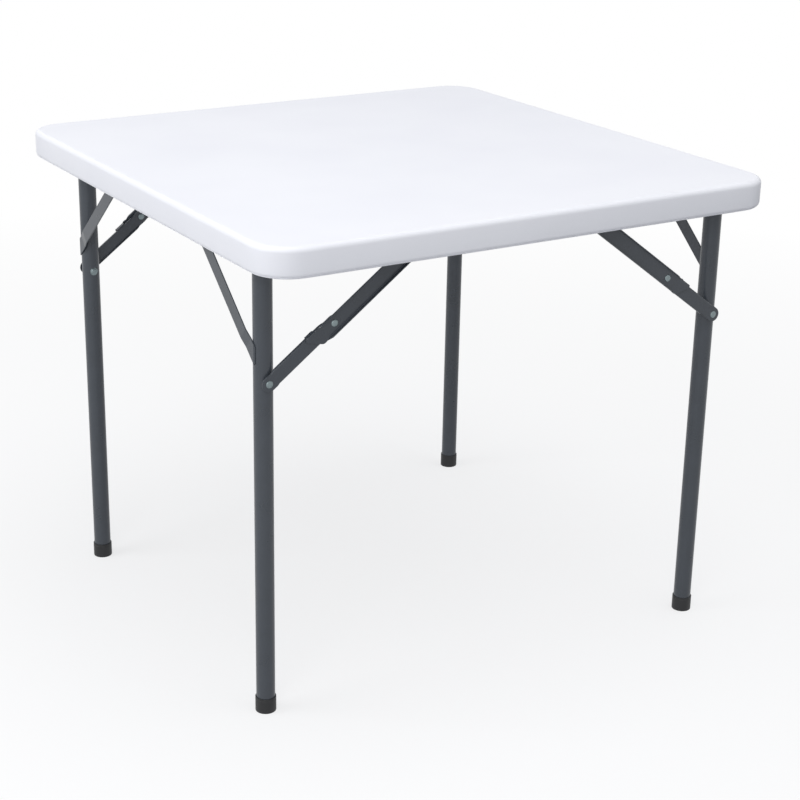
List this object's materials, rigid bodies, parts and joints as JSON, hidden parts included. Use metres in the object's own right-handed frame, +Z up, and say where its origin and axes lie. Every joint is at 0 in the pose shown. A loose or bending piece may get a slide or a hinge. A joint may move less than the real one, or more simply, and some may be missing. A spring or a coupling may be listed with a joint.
{
  "type": "folding card table",
  "caption": "Square folding table with a moulded plastic top, round steel legs on two folding frames, and hinged side braces.",
  "frame": {"origin": "on the floor under the middle of the square top, legs out", "axes": "+Z up, X along the rails from the narrow leg frame to the wide one, -Y the front"},
  "size_m": [0.864, 0.864, 0.74],
  "materials": {
    "white_plastic": "fine pebbled moulded polyethylene",
    "grey_steel": "grey powder coat",
    "zinc": "zinc plated",
    "black_plastic": "moulded, satin"
  },
  "bodies": {
    "root": {"top_panel": "white_plastic", "rail_front": "grey_steel", "rail_rear": "grey_steel", "rail_end_plugs": "black_plastic", "rail_screws": "zinc", "rail_brace_rivets": "zinc", "rail_brace_spacers": "zinc", "brace_bracket_front": "grey_steel", "brace_bracket_rear": "grey_steel", "bracket_brace_rivets": "zinc", "bracket_brace_spacers": "zinc", "leg_clips": "black_plastic"},
    "narrow_leg_frame": {"narrow_cross_tube": "grey_steel", "narrow_leg_front": "grey_steel", "narrow_leg_rear": "grey_steel", "narrow_foot_cap_front": "black_plastic", "narrow_foot_cap_rear": "black_plastic", "narrow_corner_brace_front": "grey_steel", "narrow_corner_brace_rear": "grey_steel", "narrow_leg_rivets": "zinc"},
    "wide_leg_frame": {"wide_cross_tube": "grey_steel", "wide_leg_front": "grey_steel", "wide_leg_rear": "grey_steel", "wide_foot_cap_front": "black_plastic", "wide_foot_cap_rear": "black_plastic", "wide_corner_brace_front": "grey_steel", "wide_corner_brace_rear": "grey_steel", "wide_leg_rivets": "zinc"},
    "narrow_front_upper_link": {"narrow_front_upper_link": "grey_steel", "narrow_front_elbow_rivet": "zinc"},
    "narrow_front_lower_link": {"narrow_front_lower_link": "grey_steel", "narrow_front_lower_rivet": "zinc"},
    "narrow_rear_upper_link": {"narrow_rear_upper_link": "grey_steel", "narrow_rear_elbow_rivet": "zinc"},
    "narrow_rear_lower_link": {"narrow_rear_lower_link": "grey_steel", "narrow_rear_lower_rivet": "zinc"},
    "wide_front_upper_link": {"wide_front_upper_link": "grey_steel", "wide_front_elbow_rivet": "zinc"},
    "wide_front_lower_link": {"wide_front_lower_link": "grey_steel", "wide_front_lower_rivet": "zinc"},
    "wide_rear_upper_link": {"wide_rear_upper_link": "grey_steel", "wide_rear_elbow_rivet": "zinc"},
    "wide_rear_lower_link": {"wide_rear_lower_link": "grey_steel", "wide_rear_lower_rivet": "zinc"}
  },
  "joints": [
    {"name": "narrow_frame_fold", "type": "hinge", "parent": "root", "child": "narrow_leg_frame", "pos_m": [-0.377, 0, 0.706], "axis": [0, -1, 0], "range_deg": [0, 90]},
    {"name": "wide_frame_fold", "type": "hinge", "parent": "root", "child": "wide_leg_frame", "pos_m": [0.377, 0, 0.706], "axis": [0, 1, 0], "range_deg": [0, 90]},
    {"name": "narrow_front_upper_pivot", "type": "hinge", "parent": "root", "child": "narrow_front_upper_link", "pos_m": [-0.122, -0.326, 0.706], "axis": [0, -1, 0], "range_deg": [-36.4, 0]},
    {"name": "narrow_front_elbow", "type": "hinge", "parent": "narrow_front_upper_link", "child": "narrow_front_lower_link", "pos_m": [-0.27646, -0.326, 0.59212], "axis": [0, -1, 0], "range_deg": [0, 180]},
    {"name": "narrow_rear_upper_pivot", "type": "hinge", "parent": "root", "child": "narrow_rear_upper_link", "pos_m": [-0.122, 0.326, 0.706], "axis": [0, -1, 0], "range_deg": [-36.4, 0]},
    {"name": "narrow_rear_elbow", "type": "hinge", "parent": "narrow_rear_upper_link", "child": "narrow_rear_lower_link", "pos_m": [-0.27646, 0.326, 0.59212], "axis": [0, -1, 0], "range_deg": [0, 180]},
    {"name": "wide_front_upper_pivot", "type": "hinge", "parent": "root", "child": "wide_front_upper_link", "pos_m": [0.122, -0.3745, 0.706], "axis": [0, 1, 0], "range_deg": [-36.4, 0]},
    {"name": "wide_front_elbow", "type": "hinge", "parent": "wide_front_upper_link", "child": "wide_front_lower_link", "pos_m": [0.27646, -0.3745, 0.59212], "axis": [0, 1, 0], "range_deg": [0, 180]},
    {"name": "wide_rear_upper_pivot", "type": "hinge", "parent": "root", "child": "wide_rear_upper_link", "pos_m": [0.122, 0.3745, 0.706], "axis": [0, 1, 0], "range_deg": [-36.4, 0]},
    {"name": "wide_rear_elbow", "type": "hinge", "parent": "wide_rear_upper_link", "child": "wide_rear_lower_link", "pos_m": [0.27646, 0.3745, 0.59212], "axis": [0, 1, 0], "range_deg": [0, 180]}
  ],
  "couplings": [
    {"joint": "narrow_front_upper_pivot", "follows": "narrow_frame_fold", "ratio": -0.40444},
    {"joint": "narrow_front_elbow", "follows": "narrow_frame_fold", "ratio": 2},
    {"joint": "narrow_rear_upper_pivot", "follows": "narrow_frame_fold", "ratio": -0.40444},
    {"joint": "narrow_rear_elbow", "follows": "narrow_frame_fold", "ratio": 2},
    {"joint": "wide_front_upper_pivot", "follows": "wide_frame_fold", "ratio": -0.40444},
    {"joint": "wide_front_elbow", "follows": "wide_frame_fold", "ratio": 2},
    {"joint": "wide_rear_upper_pivot", "follows": "wide_frame_fold", "ratio": -0.40444},
    {"joint": "wide_rear_elbow", "follows": "wide_frame_fold", "ratio": 2}
  ]
}
